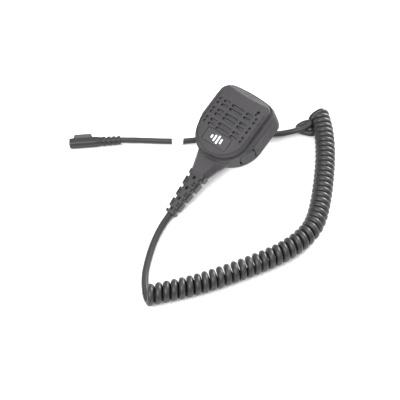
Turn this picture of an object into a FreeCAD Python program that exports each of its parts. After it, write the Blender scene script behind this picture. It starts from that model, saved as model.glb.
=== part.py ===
"""Hand microphone with a curly cord and a side plug.

The handset is drawn in its own mic frame (millimetres): x to the right seen from the front, y along
the handset towards its top, z out of the face, with y = 0 at the end of the strain relief on the cord's axis.
lay_down() then leans it on its clip, so the row frame has +Z up and the floor at z = 0. The cord, its tag
and its plug are drawn in the row frame, where they lie.
"""
import FreeCAD, Part
import math
import os

# ---- pose of the handset on the table ----
LEAN = 18.0                      # degrees that the top is raised
EXIT = (0.0, -57.0, 4.4)         # end of the strain relief on the cord's axis, in the row frame

# ---- casing: it flares from the shoulder to its widest level, then tucks in at the back ----
BODY_HALF = 29.2                 # half width where the casing is widest
BODY_ARC_Y = 85.0                # centre of the round lower end
BODY_TOP = 118.4
BODY_CORNER = 9.0
BODY_TOP_R = 150.0               # the top edge is slightly bowed
SHOULDER_HALF = 26.8             # half width where the casing meets the front panel
SHOULDER_Z = 9.6
SHOULDER_ROUND = 2.6
WIDEST_Z = -6.0
PARTING_Z = -7.0                 # front cover above, rear cover below
BACK_Z = -11.0
BACK_INSET = 2.2
WALL = 2.0
SEAM = 0.5                       # step round the rear cover's edge
PEDESTAL = 1.7                   # ring of the casing that shows round the panel's foot
GASKET = (0.45, 1.3)             # inset of the cover gasket's two edges from the wall
GASKET_THICK = 0.9

# ---- case screws, driven from the back ----
SCREWS = [(-21.3, 108.2), (21.3, 108.2), (-10.5, 63.8), (10.5, 63.8)]
SCREW_R = 1.4
SCREW_END_Z = 4.0
SCREW_HEAD_R = 2.6
SCREW_HEAD_T = 1.8
SCREW_DRIVE_R = 1.2
FRONT_BOSS_R = 3.0
REAR_BOSS_R = 3.6

# ---- neck: (y, face half width, face z, side half width, side z, back half width, back z) ----
NECK_END_Y = 40.0
NECK_SECTIONS = [(NECK_END_Y, 5.0, 6.5, 7.7, 1.6, 5.0, -6.2),
                 (50.0, 7.6, 7.7, 11.0, 1.6, 7.5, -8.0),
                 (61.0, 13.0, 8.4, 15.4, 0.0, 13.0, -9.6)]
NECK_SIDE = 3.0                  # height of the neck's upright sides
NECK_SPLIT_Z = -1.0              # the covers part here under the neck
CLAMP_Y = (50.0, 54.2)

# ---- front panel, the raised pod that holds the grille ----
PANEL_HALF = 22.9
PANEL_ARC_Y = 78.4
PANEL_TOP = 116.9
PANEL_CORNER = 8.0
PANEL_TOP_R = 130.0
PANEL_BASE_Z = 9.6
PANEL_LIP_Z = 10.8               # the dark groove lies between the base and this level
PANEL_GROOVE = 1.2               # depth of that groove
PANEL_DRAFT = 0.5
PANEL_RIM = 1.0                  # rounding of the face's edge
PANEL_WALL = 1.9
FACE_Z = 18.0
CROWN_R = 190.0                  # the face is part of a large ball
BEVEL_ANGLE = 38.0               # flat bevel across the top of the face
BEVEL_REACH = 5.4
LINE_INSET = (1.35, 1.8)         # fine engraved line that follows the face's edge
LINE_DEPTH = 0.8

# ---- grille: pairs of slot rows, with cloth behind ----
GRILLE_Y = 88.0
PAIR_PITCH = 9.4
ROW_PITCH = 3.85
SLOT_W = 2.5
SLOT_ROUND = 0.45                # corner radius over the slot's width
LONG_HALF = 6.2
MEDIUM_SLOT = (7.8, 14.3)
SMALL_SLOT = (16.6, 19.1)
CLOTH = (39.8, 28.0, 0.4)
CLOTH_Z = 14.2
MIC_X = 15.6
MIC_Y = 104.0
MIC_SLOT = (3.1, 2.0, 1.3)       # width, height and distance from the middle

# ---- label: a plain row of bars, like a sound meter ----
LABEL_Y = 68.8
LABEL_RECESS = (23.4, 11.8)
LABEL_PLATE = (22.5, 10.9)
LABEL_DEPTH = 0.9
BAR_HEIGHTS = (3.0, 5.6, 7.4, 4.4)
BAR_W = 1.6
BAR_PITCH = 3.0

# ---- loudspeaker, circuit board ----
SPEAKER_R = 17.5
SPEAKER_OPEN_R = 15.4
BOARD_Z = (-5.2, -3.6)
BOARD_POSTS = [(-13.0, 73.0), (-15.0, 101.0), (12.5, 97.0)]
BOARD_POST_R = 2.2
BOARD_SCREW_R = 0.9

# ---- push-to-talk key on the left side ----
PTT_Y = (82.5, 108.0)
PTT_Z = (-2.8, 4.6)
PTT_MID = (PTT_Y[0] + PTT_Y[1]) / 2
PTT_PROUD = 1.1
PTT_CLEAR = 0.35
STEM_Z = 0.9
STEM_R = 1.4

# ---- accessory jack and its flap, low on the right ----
JACK_ANGLE = -24.5
JACK_Z = 0.9
JACK_BORE_R = 1.8
JACK_BARREL_R = 3.2
JACK_LEN = 13.0
JACK_NOSE = 25.6                 # distance of the jack's mouth from the lower arc's centre
FLAP_HALF = 6.3
FLAP_Z = (-5.4, 6.4)
FLAP_CORNER = 3.0
FLAP_CLEAR = 0.42
FLAP_THICK = 1.3
FLAP_PAD = 1.5                   # thickening of the casing round the flap
FLAP_PIN_HALF = 2.8
FLAP_SOCKET_HALF = 5.8
SOCKET_CLEAR = 0.6
NAIL_NOTCH = (1.6, 5.6)

# ---- clip ----
CLIP_Y = 82.0
PLATE_Q = (1.4, 3.1)             # q runs away from the handset's back
LAND_R = 12.0
PIN_Q = 12.0
PIN_R = 1.0
HUB_R = 2.6
BUSH_R = 4.0
RUN_GAP = 0.06
TAB_T = 4.0

# ---- strain relief: (start y, end y) of its bands, from the cord up to the neck ----
RELIEF_BANDS = [(0.0, 2.3), (5.3, 12.3), (15.5, 22.6), (25.9, 33.0), (36.2, NECK_END_Y)]
RELIEF_HALF = (4.2, 0.09)        # half width at y = 0 and its growth per mm
RELIEF_DEPTH = (4.5, 0.045)      # half depth in the same way
NOTCH_DEPTH = 1.9
WINDOW_HALF = 1.2
SLIT_W = 1.1
SLIT_DEPTH = 1.8
SHANK_R = 4.5
FLANGE_R = 5.6
FLANGE_Y = (44.0, 47.3)

# ---- cord: it is thickest at the handset; a curly stretch lies between lead and loop ----
CORD_R = 2.7
TAIL_R = 2.5
COIL_R = 8.6
FLOOR_GAP = 0.05
LEAD_Z = CORD_R + FLOOR_GAP
COIL_Z = COIL_R + FLOOR_GAP
TAIL_Z = TAIL_R + FLOOR_GAP
LEAD_ROUTE = [(0.0, -57.0, 4.4), (0.3, -64.6, LEAD_Z), (2.4, -74.5, LEAD_Z), (5.4, -84.2, LEAD_Z),
              (8.9, -92.6, LEAD_Z), (13.0, -101.2, LEAD_Z), (17.3, -108.9, LEAD_Z),
              (21.7, -114.8, LEAD_Z), (26.3, -119.8, LEAD_Z), (31.2, -124.3, LEAD_Z)]
COIL_ROUTE = [(33.0, -125.2), (41.5, -114.9), (50.6, -103.6), (60.3, -90.2), (69.8, -74.6),
              (77.6, -61.2), (85.4, -46.8), (92.2, -33.0), (97.1, -17.6), (98.9, -4.6), (97.6, 6.6),
              (92.8, 20.0), (86.6, 33.4), (79.2, 47.8), (71.2, 62.0), (62.6, 75.2), (55.2, 84.9),
              (47.4, 93.7), (39.9, 100.6)]
LOOP_CENTRE = (38.0, 84.3)
LOOP_R = 7.4
LOOP_HEIGHT = 10.8
TAIL_ROUTE = [(37.4, 78.6, 7.4), (33.4, 75.2, 5.7), (28.9, 71.6, 3.4), (24.6, 67.4, TAIL_Z),
              (20.4, 63.2, TAIL_Z), (13.4, 57.6, TAIL_Z), (3.6, 51.6, TAIL_Z), (-8.0, 43.8, TAIL_Z),
              (-18.4, 32.2, TAIL_Z), (-26.4, 20.0, TAIL_Z), (-36.6, 8.6, TAIL_Z), (-47.6, 0.2, TAIL_Z),
              (-58.8, -8.1, TAIL_Z), (-70.6, -16.6, 2.95), (-80.9, -25.9, 4.2)]

# ---- paper tag on the tail ----
TAG_RUN = (11, 10)               # run of the tail that the tag sits on, read towards the handset
TAG_LEN = 9.6
TAG_WIDE = 12.0
TAG_THICK = 0.3
TAG_TILT = 24.0

# ---- plug ----
PLUG_HEADING = 223.0             # way that it points, degrees from +x
PLUG_RELIEF_LEN = 16.0
PLUG_BANDS = 4
PLUG_BAND_PITCH = 4.3
PLUG_BAND_LEN = 2.9
PLUG_LEN = 28.0
PLUG_HALF = 4.1                  # half width and half height of its body
PLUG_ROUND = 3.1
PLUG_SHOULDER = 5.0
PLATE_X = (24.1, 40.6)
PLATE_Y = (-3.6, -7.3)
PLATE_HALF = 2.6
CONTACT_PITCH = 8.2
CONTACT_R = 0.9

parts = {}


# ---------------------------------------------------------------- shapes
def vec(x, y, z=0.0):
    return FreeCAD.Vector(x, y, z)


def box(x0, x1, y0, y1, z0, z1):
    return Part.makeBox(x1 - x0, y1 - y0, z1 - z0, vec(x0, y0, z0))


def rod(radius, start, end):
    """Round bar from one point to another."""
    a = vec(*start)
    b = vec(*end)
    return Part.makeCylinder(radius, (b - a).Length, a, b - a)


def upright(radius, x, y, z0, z1):
    """Round bar along z."""
    return rod(radius, (x, y, z0), (x, y, z1))


def cone(r0, r1, start, end):
    a = vec(*start)
    b = vec(*end)
    return Part.makeCone(r0, r1, (b - a).Length, a, b - a)


def fuse(shapes):
    joined = shapes[0]
    for shape in shapes[1:]:
        joined = joined.fuse(shape)
    return joined.removeSplitter()


def cut(shape, tools):
    for tool in tools:
        shape = shape.cut(tool)
    return shape


def arc(a, b, c):
    return Part.Arc(vec(*a), vec(*b), vec(*c)).toShape()


def line(a, b):
    return Part.LineSegment(vec(*a), vec(*b)).toShape()


def loft(wires):
    return Part.makeLoft(wires, True, True)


def prism(wire, height):
    return Part.Face(wire).extrude(vec(0, 0, height))


def rounded_prism(width, height, radius, depth):
    """Rounded rectangle centred on the origin in XY, extruded from z = 0."""
    plate = Part.makeBox(width, height, depth, vec(-width / 2, -height / 2, 0))
    edges = [e for e in plate.Edges if abs(e.Length - depth) < 1e-6 and abs(e.tangentAt(0).z) > 0.9]
    return plate.makeFillet(radius, edges)


def side_prism(y_span, z_span, radius, x0, x1):
    """Rounded rectangle in YZ that runs from x0 to x1."""
    shape = rounded_prism(z_span[1] - z_span[0], y_span[1] - y_span[0], radius, x1 - x0)
    shape.rotate(vec(0, 0, 0), vec(0, 1, 0), 90)
    shape.translate(vec(x0, sum(y_span) / 2, sum(z_span) / 2))
    return shape


def grown(span, margin):
    return (span[0] - margin, span[1] + margin)


def shield(half, arc_y, top, corner, top_r, z):
    """Closed outline: half-round lower end, straight sides, rounded top corners, bowed top edge."""
    inner = half - corner
    bow = math.asin(inner / (top_r - corner))
    y0 = top - top_r + (top_r - corner) * math.cos(bow)
    middle = (math.pi / 2 - bow) / 2
    mid_x = inner + corner * math.cos(middle)
    mid_y = y0 + corner * math.sin(middle)
    end_x = inner + corner * math.sin(bow)
    end_y = y0 + corner * math.cos(bow)
    return Part.Wire([
        arc((-half, arc_y, z), (0, arc_y - half, z), (half, arc_y, z)),
        line((half, arc_y, z), (half, y0, z)),
        arc((half, y0, z), (mid_x, mid_y, z), (end_x, end_y, z)),
        arc((end_x, end_y, z), (0, top, z), (-end_x, end_y, z)),
        arc((-end_x, end_y, z), (-mid_x, mid_y, z), (-half, y0, z)),
        line((-half, y0, z), (-half, arc_y, z)),
    ])


def body_half(z):
    """Half width of the casing at a height."""
    share = min(1.0, (SHOULDER_Z - z) / (SHOULDER_Z - WIDEST_Z))
    return SHOULDER_HALF + (BODY_HALF - SHOULDER_HALF) * share


def body_outline(grow, z):
    return shield(body_half(z) + grow, BODY_ARC_Y, BODY_TOP + grow, BODY_CORNER + grow, BODY_TOP_R + grow, z)


def body_block(grow):
    """The casing's flared part."""
    return loft([body_outline(grow, SHOULDER_Z), body_outline(grow, WIDEST_Z)])


def panel_outline(grow, z):
    share = (z - PANEL_LIP_Z) / (FACE_Z - PANEL_LIP_Z)
    shrink = PANEL_DRAFT * max(0.0, share) - grow
    return shield(PANEL_HALF - shrink, PANEL_ARC_Y, PANEL_TOP - shrink, PANEL_CORNER - shrink * 0.5,
                  PANEL_TOP_R - shrink, z)


def lay_down(shape):
    """Mic frame to row frame."""
    placed = shape.copy()
    placed.rotate(vec(0, 0, 0), vec(1, 0, 0), LEAN)
    placed.translate(vec(*EXIT))
    return placed


def add(name, shape):
    """Keep a handset piece, laid down into the row frame."""
    parts[name] = lay_down(shape)


# ---------------------------------------------------------------- casing
def neck_section(y, face_half, face_z, side_half, side_z, back_half, back_z):
    corners = [(face_half, face_z), (side_half, side_z), (side_half, side_z - NECK_SIDE), (back_half, back_z)]
    ring = corners + [(-x, z) for x, z in reversed(corners)]
    return Part.makePolygon([vec(x, y, z) for x, z in ring + ring[:1]])


def casing_outer():
    body = body_block(0)
    body = body.makeFillet(SHOULDER_ROUND, [e for e in body.Edges if e.BoundBox.ZMin > SHOULDER_Z - 0.01])
    pedestal = loft([panel_outline(PEDESTAL, SHOULDER_Z), panel_outline(PEDESTAL, SHOULDER_Z - 1.6),
                     panel_outline(-6.0, -1.0)])
    waist = prism(body_outline(0, BACK_Z + BACK_INSET), WIDEST_Z - BACK_Z - BACK_INSET)
    back = loft([body_outline(0, BACK_Z + BACK_INSET), body_outline(-BACK_INSET, BACK_Z)])
    for piece in (pedestal, waist, back, loft([neck_section(*s) for s in NECK_SECTIONS])):
        body = body.fuse(piece)
    return body


def casing_hollow():
    main = loft([body_outline(-WALL, SHOULDER_Z - WALL), body_outline(-WALL, WIDEST_Z)])
    low = loft([body_outline(-WALL, WIDEST_Z), body_outline(-WALL - 1.0, BACK_Z + WALL)])
    mouth = prism(panel_outline(-2.6, 0), SHOULDER_Z + 1)
    flange_pocket = rod(FLANGE_R + 0.1, (0, FLANGE_Y[0], 0), (0, FLANGE_Y[1] + 0.1, 0))
    shank_hole = rod(SHANK_R + 0.05, (0, NECK_END_Y - 1, 0), (0, FLANGE_Y[0], 0))
    channel = box(-6.5, 6.5, FLANGE_Y[1] + 0.1, 61.0, -3.6, 3.6)
    return fuse([main.fuse(low), mouth, flange_pocket, shank_hole, channel])


def rear_region():
    """Everything behind the parting line, which steps up under the neck."""
    below = box(-60, 60, -10, 140, -60, PARTING_Z)
    under_neck = box(-60, 60, NECK_END_Y - 5, 54.5, -60, NECK_SPLIT_Z)
    return below.fuse(under_neck)


def flap_prism(grow, r0, r1):
    """Block along the jack's direction with the flap's rounded outline."""
    width = 2 * FLAP_HALF + 2 * grow
    height = FLAP_Z[1] - FLAP_Z[0] + 2 * grow
    shape = rounded_prism(height, width, FLAP_CORNER + grow, r1 - r0)
    shape.rotate(vec(0, 0, 0), vec(0, 1, 0), 90)
    shape.translate(vec(r0, 0, sum(FLAP_Z) / 2))
    return turn_to_jack(shape)


def turn_to_jack(shape):
    """Turn a shape drawn along +x to the jack's direction, about the lower arc's centre."""
    shape.rotate(vec(0, 0, 0), vec(0, 0, 1), JACK_ANGLE)
    shape.translate(vec(0, BODY_ARC_Y, 0))
    return shape


def radial(r, along=0.0, z=0.0):
    """Point at radius r in the jack's direction, moved along the wall towards the top."""
    a = math.radians(JACK_ANGLE)
    x = r * math.cos(a) - along * math.sin(a)
    y = r * math.sin(a) + along * math.cos(a)
    return (x, BODY_ARC_Y + y, z)


def body_skin(grow_out, grow_in):
    return body_block(grow_out).cut(body_block(grow_in))


def flap_hinge(radius, half_length):
    """Round bar on the flap's hinge line, which runs at mid thickness of its upper end."""
    ends = []
    middle = sum(FLAP_Z) / 2
    for z in (middle - half_length, middle + half_length):
        skin = body_half(z) - FLAP_THICK / 2
        ends.append(radial(math.sqrt(skin ** 2 - FLAP_HALF ** 2), FLAP_HALF, z))
    return rod(radius, ends[0], ends[1])


def front_cover(shell):
    region = rear_region()
    front = shell.cut(region)
    inside = casing_outer()
    for x, y in SCREWS:
        front = front.fuse(upright(FRONT_BOSS_R, x, y, PARTING_Z, SHOULDER_Z - WALL + 0.3).common(inside))
    front = cut(front, [upright(SCREW_R + 0.1, x, y, PARTING_Z - 1, SCREW_END_Z + 1) for x, y in SCREWS])

    # push-to-talk window
    front = front.cut(side_prism(grown(PTT_Y, PTT_CLEAR), grown(PTT_Z, PTT_CLEAR), 3.2, -40, -20))

    # recess for the jack's flap, with its nail notch, and the hole for the jack's nose
    pad = inside.common(flap_prism(FLAP_PAD, JACK_NOSE - 2, 40))
    front = front.fuse(pad.cut(region))
    skin = body_skin(3.0, -FLAP_THICK - FLAP_CLEAR)
    recess = flap_prism(FLAP_CLEAR, 20, 40).common(skin)
    notch = Part.makeBox(12, NAIL_NOTCH[0] + 0.1, NAIL_NOTCH[1], vec(26, -FLAP_HALF - NAIL_NOTCH[0], FLAP_Z[0]))
    notch = turn_to_jack(notch).common(skin)
    socket = flap_hinge(FLAP_THICK / 2 + SOCKET_CLEAR, FLAP_SOCKET_HALF)
    nose = rod(JACK_BARREL_R + 0.05, radial(15, 0, JACK_Z), radial(45, 0, JACK_Z))
    front = cut(front, [recess, notch, socket, nose])
    add("front_cover", front.removeSplitter())


def rear_cover(shell):
    rear = shell.common(rear_region())
    inside = casing_outer()
    for x, y in SCREWS:
        rear = rear.fuse(upright(REAR_BOSS_R, x, y, BACK_Z + 0.6, PARTING_Z).common(inside))
        rear = cut(rear, [upright(SCREW_R + 0.2, x, y, -20, 0),
                          upright(SCREW_HEAD_R + 0.3, x, y, -20, BACK_Z + SCREW_HEAD_T)])
    for x, y in BOARD_POSTS:
        rear = rear.fuse(upright(BOARD_POST_R, x, y, BACK_Z + WALL - 0.3, BOARD_Z[0]))
        rear = rear.cut(upright(BOARD_SCREW_R + 0.05, x, y, BOARD_Z[0] - 3.2, 0))

    seam = prism(body_outline(5, 0), SEAM).cut(prism(body_outline(-SEAM, 0), SEAM))
    seam.translate(vec(0, 0, PARTING_Z - SEAM))
    rear = rear.cut(seam.cut(box(-30, 30, 0, 57.5, -20, 20)))

    # round land that the clip turns on, and the hole for its screw
    rear = rear.fuse(upright(LAND_R, 0, CLIP_Y, BACK_Z - PLATE_Q[0] + 0.1, BACK_Z + 0.5))
    rear = rear.fuse(upright(4.5, 0, CLIP_Y, BACK_Z, -6.4))
    rear = rear.cut(upright(1.5, 0, CLIP_Y, -20, -6.9))
    add("rear_cover", rear.removeSplitter())


def cover_gasket():
    gasket = prism(body_outline(-WALL - GASKET[0], PARTING_Z), GASKET_THICK)
    gasket = gasket.cut(prism(body_outline(-WALL - GASKET[1], PARTING_Z), GASKET_THICK))
    gaps = [upright(FRONT_BOSS_R + 0.1, x, y, -20, 20) for x, y in SCREWS]
    gaps += [box(-15, 15, 0, 62, -20, 20), flap_prism(FLAP_PAD + 0.3, 20, 40)]
    add("cover_gasket", cut(gasket, gaps))


def case_screws():
    screws = []
    head_top = BACK_Z + SCREW_HEAD_T
    for x, y in SCREWS:
        head = upright(SCREW_HEAD_R, x, y, BACK_Z + 0.1, head_top)
        drive = upright(SCREW_DRIVE_R, x, y, BACK_Z, BACK_Z + 0.9)
        screws.append(head.fuse(upright(SCREW_R, x, y, head_top - 0.1, SCREW_END_Z)).cut(drive))
    add("case_screws", Part.makeCompound(screws))


# ---------------------------------------------------------------- front panel
def crown_ball(grow):
    """Ball whose surface is the crowned face; its poles and seam are turned away from the panel."""
    centre = vec(0, GRILLE_Y, FACE_Z - CROWN_R)
    ball = Part.makeSphere(CROWN_R + grow, centre, vec(1, 0, 0))
    ball.rotate(centre, vec(1, 0, 0), 180)
    return ball


def panel_block(grow):
    """Pod with a crowned face; grow is negative for its hollow."""
    sides = loft([panel_outline(grow, PANEL_LIP_Z), panel_outline(grow, FACE_Z + 1)])
    return sides.common(crown_ball(grow))


def rim_edges(shape):
    """Edges where the crowned face meets the sides."""
    found = []
    for edge in shape.Edges:
        zs = [v.Point.z for v in edge.Vertexes]
        if min(zs) > FACE_Z - 4.5 and len(zs) == 2:
            found.append(edge)
    return found


def grille_slots():
    slots = []
    for pair in (-1, 0, 1):
        for side in (-0.5, 0.5):
            y = GRILLE_Y + pair * PAIR_PITCH + side * ROW_PITCH
            slots.append(panel_slot(0, 2 * LONG_HALF, y, SLOT_W))
            for span in (MEDIUM_SLOT, SMALL_SLOT):
                slots += [panel_slot(sign * sum(span) / 2, span[1] - span[0], y, SLOT_W) for sign in (-1, 1)]
    width, height, away = MIC_SLOT
    return slots + [panel_slot(MIC_X, width, MIC_Y + dy, height) for dy in (-away, away)]


def panel_slot(x, length, y, width):
    """Cutter for one rounded slot through the face, centred on x and y."""
    shape = rounded_prism(length, width, width * SLOT_ROUND, 8)
    shape.translate(vec(x, y, 12))
    return shape


def edge_line():
    """Fine line that follows the face's edge round its sides and lower end."""
    ring = prism(panel_outline(-LINE_INSET[0], 0), 30).cut(prism(panel_outline(-LINE_INSET[1], 0), 30))
    ring = ring.cut(box(-60, 60, PANEL_TOP - 12, 160, -1, 40))
    return ring.common(face_layer(-LINE_DEPTH, 5))


def face_layer(low, high):
    """Layer of space between two levels, counted from the crowned face."""
    return crown_ball(high).cut(crown_ball(low))


def label_prism(width, height, radius, x=0.0):
    shape = rounded_prism(width, height, radius, 20)
    shape.translate(vec(x, LABEL_Y, 5))
    return shape


def front_panel():
    block = panel_block(0)
    block = block.makeFillet(PANEL_RIM, rim_edges(block))
    bevel_y = PANEL_TOP - BEVEL_REACH
    crown_drop = (bevel_y - GRILLE_Y) ** 2 / (2 * CROWN_R)
    bevel = box(-40, 40, -6, 12, 0, 8)
    bevel.rotate(vec(0, 0, 0), vec(1, 0, 0), -BEVEL_ANGLE)
    bevel.translate(vec(0, bevel_y, FACE_Z - crown_drop))
    foot = prism(panel_outline(-PANEL_GROOVE, PANEL_BASE_Z), PANEL_LIP_Z - PANEL_BASE_Z)
    throat = prism(panel_outline(-2.9, PANEL_BASE_Z - 1), PANEL_LIP_Z - PANEL_BASE_Z + 1.2)
    panel = cut(block.cut(bevel).fuse(foot), [panel_block(-PANEL_WALL), throat])
    recess = label_prism(*LABEL_RECESS, 1.8).common(face_layer(-LABEL_DEPTH, 5))
    add("front_panel", cut(panel, grille_slots() + [edge_line(), recess]))


def label():
    add("label_plate", label_prism(*LABEL_PLATE, 1.4).common(face_layer(-LABEL_DEPTH, -0.1)))
    layer = face_layer(-0.1, 0.05)
    bars = []
    for i, height in enumerate(BAR_HEIGHTS):
        x = BAR_PITCH * (i - (len(BAR_HEIGHTS) - 1) / 2)
        bars.append(label_prism(BAR_W, height, 0.5, x).common(layer))
    add("label_mark", Part.makeCompound(bars))


def grille_mesh():
    mesh = rounded_prism(CLOTH[0], CLOTH[1], 3.0, CLOTH[2])
    mesh.translate(vec(0, GRILLE_Y, CLOTH_Z))
    add("grille_mesh", mesh)


# ---------------------------------------------------------------- inside
def speaker():
    c = (0, GRILLE_Y)

    def at(r, z0, z1):
        return upright(r, *c, z0, z1)

    rim = at(SPEAKER_R, 12.2, 13.2).cut(at(SPEAKER_OPEN_R, 12, 14))
    wall = cone(10.5, 16.6, (*c, 6.4), (*c, 12.3)).cut(cone(9.9, 16.0, (*c, 6.39), (*c, 12.31)))
    floor = at(10.5, 5.9, 6.5).cut(at(6.6, 5, 7))
    vents = []
    for i in range(4):
        a = math.radians(45 + 90 * i)
        vents.append(rod(2.6, (*c, 9.3), (c[0] + 30 * math.cos(a), c[1] + 30 * math.sin(a), 9.3)))
    add("speaker_basket", cut(fuse([rim, wall, floor]), vents))
    add("speaker_magnet", at(9.0, 2.6, 5.85).fuse(at(6.4, 5.85, 7.2)).cut(at(5.0, 5.2, 8)))
    add("voice_coil", at(4.7, 5.6, 10.2).cut(at(4.4, 5, 11)))
    paper = cone(4.8, 13.0, (*c, 10.25), (*c, 12.6)).cut(cone(4.5, 12.9, (*c, 10.55), (*c, 12.95)))
    add("speaker_cone", paper.cut(at(4.4, 9, 12)))
    dome = Part.makeSphere(7.0, vec(*c, 5.2)).cut(Part.makeSphere(6.7, vec(*c, 5.2)))
    add("dust_cap", dome.common(at(4.4, 10.6, 14)))
    surround = Part.makeTorus(14.2, 1.0, vec(*c, 12.75)).cut(Part.makeTorus(14.2, 0.75, vec(*c, 12.75)))
    add("speaker_surround", surround.common(at(20, 12.95, 14.2)))
    add("speaker_gasket", at(SPEAKER_R, 13.25, 13.95).cut(at(15.6, 13, 15)))
    tabs = [box(-2.5, 2.5, GRILLE_Y + SPEAKER_R - 0.7, GRILLE_Y + SPEAKER_R + 3.0, 11.2, 12.15),
            box(-2.5, 2.5, GRILLE_Y - SPEAKER_R - 3.0, GRILLE_Y - SPEAKER_R + 0.7, 11.2, 12.15)]
    add("speaker_clamps", fuse(tabs))


def microphone():
    capsule = upright(3.0, MIC_X, MIC_Y, 8.8, 13.0)
    add("mic_capsule", capsule)
    boot = upright(3.8, MIC_X, MIC_Y, 8.2, 14.0)
    holes = [upright(1.6, MIC_X, MIC_Y, 12, 15), upright(1.2, MIC_X, MIC_Y, 7, 9)]
    add("mic_boot", cut(boot, [capsule] + holes))


def board():
    plate = prism(shield(22.5, 86.0, 112.5, 8.0, 200.0, BOARD_Z[0]), BOARD_Z[1] - BOARD_Z[0])
    notches = [upright(FRONT_BOSS_R + 0.9, x, y, -20, 0) for x, y in SCREWS]
    holes = [upright(BOARD_SCREW_R + 0.2, x, y, -20, 0) for x, y in BOARD_POSTS]
    add("circuit_board", cut(plate, notches + holes))
    top = BOARD_Z[1]
    chips = [box(-9, -1, 84, 92, top, top + 1.4), box(2, 7, 88, 92, top, top + 1.2),
             box(-14, -11.5, 80, 86, top, top + 1.0), box(3, 6, 103, 105, top, top + 1.0)]
    cans = [upright(2.0, x, y, top, top + 4.6) for x, y in ((-6, 101), (1, 98))]
    resistors = [box(x, x + 2, 79, 80.2, top, top + 0.6) for x in (-2, 1.2, 4.4, 7.6)]
    add("board_components", Part.makeCompound(chips + cans + resistors))
    screws = []
    for x, y in BOARD_POSTS:
        head = upright(1.9, x, y, top, top + 1.1)
        screws.append(head.fuse(upright(BOARD_SCREW_R, x, y, top - 4.4, top)))
    add("board_screws", Part.makeCompound(screws))


def push_to_talk():
    pad = side_prism(PTT_Y, PTT_Z, 2.9, -40, -24.5)
    add("ptt_button", pad.common(body_block(PTT_PROUD)))
    add("ptt_key", side_prism((PTT_MID - 11, PTT_MID + 11), grown(PTT_Z, -0.4), 2.0, -24.5, -23.3))
    seal = side_prism((PTT_Y[0] - 2.2, PTT_Y[1] + 1.0), (PTT_Z[0] - 2.2, PTT_Z[1] + 1.8), 3.4, -25.2, -24.6)
    hole = side_prism(grown(PTT_Y, 0.3), grown(PTT_Z, 0.3), 3.1, -27, -24)
    add("ptt_seal", seal.cut(hole).common(body_block(-WALL - 0.02)))
    add("switch_stem", rod(STEM_R, (-23.3, PTT_MID, STEM_Z), (-20.4, PTT_MID, STEM_Z)))
    body = box(-22.0, -17.0, PTT_MID - 3.2, PTT_MID + 3.2, BOARD_Z[1], 4.2)
    well = rod(STEM_R + RUN_GAP, (-25, PTT_MID, STEM_Z), (-19.2, PTT_MID, STEM_Z))
    add("ptt_switch", body.cut(well))


def jack():
    back = JACK_NOSE - JACK_LEN
    shell = rod(JACK_BARREL_R, radial(20.5, 0, JACK_Z), radial(JACK_NOSE, 0, JACK_Z))
    block = box(back, back + JACK_LEN - 2.2, -3.5, 3.5, BOARD_Z[1], 3.4 + JACK_Z)
    block = turn_to_jack(block).common(upright(22.3, 0, BODY_ARC_Y, -30, 30))
    bore = rod(JACK_BORE_R, radial(back + 1.0, 0, JACK_Z), radial(40, 0, JACK_Z))
    add("audio_jack", shell.fuse(block).cut(bore))

    # the flap is a slice of the casing's own surface, with a round pin on its hinge line and a stud
    flap = flap_prism(0, 20, 40).common(body_skin(0.12, -FLAP_THICK))
    pin = flap_hinge(FLAP_THICK / 2 + 0.05, FLAP_PIN_HALF)
    stud = rod(1.3, radial(JACK_NOSE + 0.3, 0, JACK_Z), radial(27.4, 0, JACK_Z))
    add("jack_cover", flap.fuse(pin).fuse(stud))


# ---------------------------------------------------------------- strain relief
def relief_size(y, inset=0.0):
    half = RELIEF_HALF[0] + RELIEF_HALF[1] * y - inset
    depth = RELIEF_DEPTH[0] + RELIEF_DEPTH[1] * y - inset * 0.55
    return half, depth


def relief_block(y0, y1, inset):
    """Tapered block of the strain relief, rounded rectangle in section."""
    wires = []
    for y in (y0, y1):
        half, depth = relief_size(y, inset)
        section = rounded_prism(2 * half, 2 * depth, min(half, depth) * 0.42, 1.0)
        section.rotate(vec(0, 0, 0), vec(1, 0, 0), -90)
        section.translate(vec(0, y, 0))
        end = min(section.Faces, key=lambda f: f.CenterOfMass.y)
        wires.append(end.OuterWire)
    return loft(wires)


def relief_windows():
    """A window through the middle of each gap."""
    windows = []
    for (_, y0), (y1, _) in zip(RELIEF_BANDS, RELIEF_BANDS[1:]):
        windows.append(box(-WINDOW_HALF, WINDOW_HALF, y0 + 0.4, y1 - 0.4, -12, 12))
    return windows


def relief_slits():
    """A pair of thin slits on each side of each long band, front and back."""
    slits = []
    for y0, y1 in RELIEF_BANDS[1:4]:
        middle = (y0 + y1) / 2
        half, depth = relief_size(middle)
        for x0, x1 in ((-half * 0.86, -half * 0.3), (half * 0.3, half * 0.86)):
            for y in (middle - 0.5 - SLIT_W, middle + 0.5):
                slits.append(box(x0, x1, y, y + SLIT_W, depth - SLIT_DEPTH, 12))
                slits.append(box(x0, x1, y, y + SLIT_W, -12, SLIT_DEPTH - depth))
    return slits


def strain_relief():
    pieces = [relief_block(y0, y1, 0) for y0, y1 in RELIEF_BANDS]
    pieces.append(relief_block(1.0, NECK_END_Y - 1.0, NOTCH_DEPTH))
    pieces.append(rod(SHANK_R, (0, NECK_END_Y - 0.5, 0), (0, FLANGE_Y[0], 0)))
    pieces.append(rod(FLANGE_R, (0, FLANGE_Y[0], 0), (0, FLANGE_Y[1], 0)))
    relief = cut(fuse(pieces), relief_windows() + relief_slits())
    add("strain_relief", relief.cut(rod(CORD_R, (0, -1, 0), (0, 48, 0))))


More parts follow.
